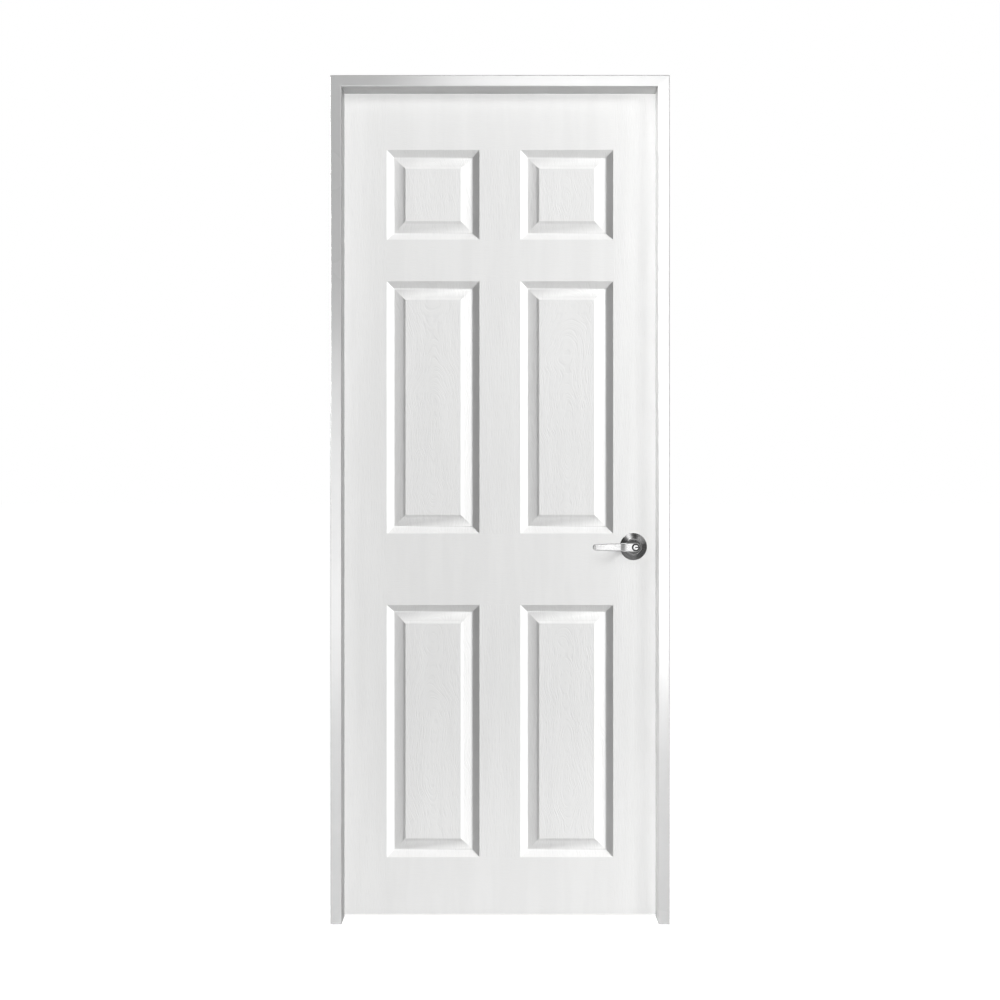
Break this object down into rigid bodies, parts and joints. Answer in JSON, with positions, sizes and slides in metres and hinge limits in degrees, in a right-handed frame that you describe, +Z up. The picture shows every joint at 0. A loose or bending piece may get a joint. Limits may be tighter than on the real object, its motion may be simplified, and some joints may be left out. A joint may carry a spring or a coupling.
{
  "type": "panel door with frame",
  "caption": "White moulded panel door hung on butt hinges in a rebated frame, with a keyed lever handle that draws back a sprung latch.",
  "frame": {"origin": "on the floor, in the middle of the doorway's width, on the middle plane of the closed leaf", "axes": "+Z up, +X to the lock side as seen from the front, +Y to the rear, the way the leaf opens"},
  "size_m": [0.802, 0.168, 2.006],
  "materials": {
    "leaf_paint": "satin white paint on embossed grain",
    "frame_paint": "smooth semi-gloss white paint",
    "raw_timber": "planed softwood",
    "satin_nickel": "satin nickel",
    "key_steel": "turned steel",
    "zinc_steel": "zinc plated",
    "dust_box_plastic": "matt black"
  },
  "bodies": {
    "frame": {"hinge_jamb": "frame_paint", "strike_jamb": "frame_paint", "head_jamb": "frame_paint", "strike_plate": "satin_nickel", "strike_box": "dust_box_plastic", "lower_hinge_frame_leaf": "satin_nickel", "middle_hinge_frame_leaf": "satin_nickel", "upper_hinge_frame_leaf": "satin_nickel", "lower_hinge_pin": "satin_nickel", "middle_hinge_pin": "satin_nickel", "upper_hinge_pin": "satin_nickel"},
    "door_leaf": {"front_skin": "leaf_paint", "rear_skin": "leaf_paint", "hinge_stile": "leaf_paint", "lock_stile": "leaf_paint", "top_rail": "raw_timber", "bottom_rail": "raw_timber", "lock_block": "raw_timber", "lower_hinge_door_leaf": "satin_nickel", "middle_hinge_door_leaf": "satin_nickel", "upper_hinge_door_leaf": "satin_nickel", "latch_case": "zinc_steel", "latch_faceplate": "satin_nickel", "outside_rose": "satin_nickel", "inside_rose": "satin_nickel", "outside_mounting_plate": "zinc_steel", "inside_mounting_plate": "zinc_steel", "mounting_bolts": "zinc_steel"},
    "handle": {"outside_lever": "satin_nickel", "inside_lever": "satin_nickel", "spindle": "zinc_steel", "latch_follower": "zinc_steel", "key_cylinder": "key_steel"},
    "lock_core": {"key_plug": "key_steel", "locking_bar": "key_steel", "turn_button": "satin_nickel"},
    "latch": {"latch_bolt": "satin_nickel"}
  },
  "joints": [
    {"name": "door_swing", "type": "hinge", "parent": "frame", "child": "door_leaf", "pos_m": [-0.3825, 0.024, 0.9955], "axis": [0, 0, 1], "range_deg": [0, 170]},
    {"name": "lever_turn", "type": "hinge", "parent": "door_leaf", "child": "handle", "pos_m": [0.321, 0, 0.89], "axis": [0, -1, 0], "range_deg": [0, 57], "stiffness_Nm_per_rad": 1.2, "springref_deg": -20.05},
    {"name": "latch_slide", "type": "slide", "parent": "door_leaf", "child": "latch", "axis": [-1, 0, 0], "range_m": [0, 0.01]},
    {"name": "lock_turn", "type": "hinge", "parent": "handle", "child": "lock_core", "pos_m": [0.321, 0, 0.89], "axis": [0, -1, 0], "range_deg": [0, 90]}
  ],
  "couplings": [
    {"joint": "latch_slide", "follows": "lever_turn", "m_per_rad": 0.01005}
  ]
}
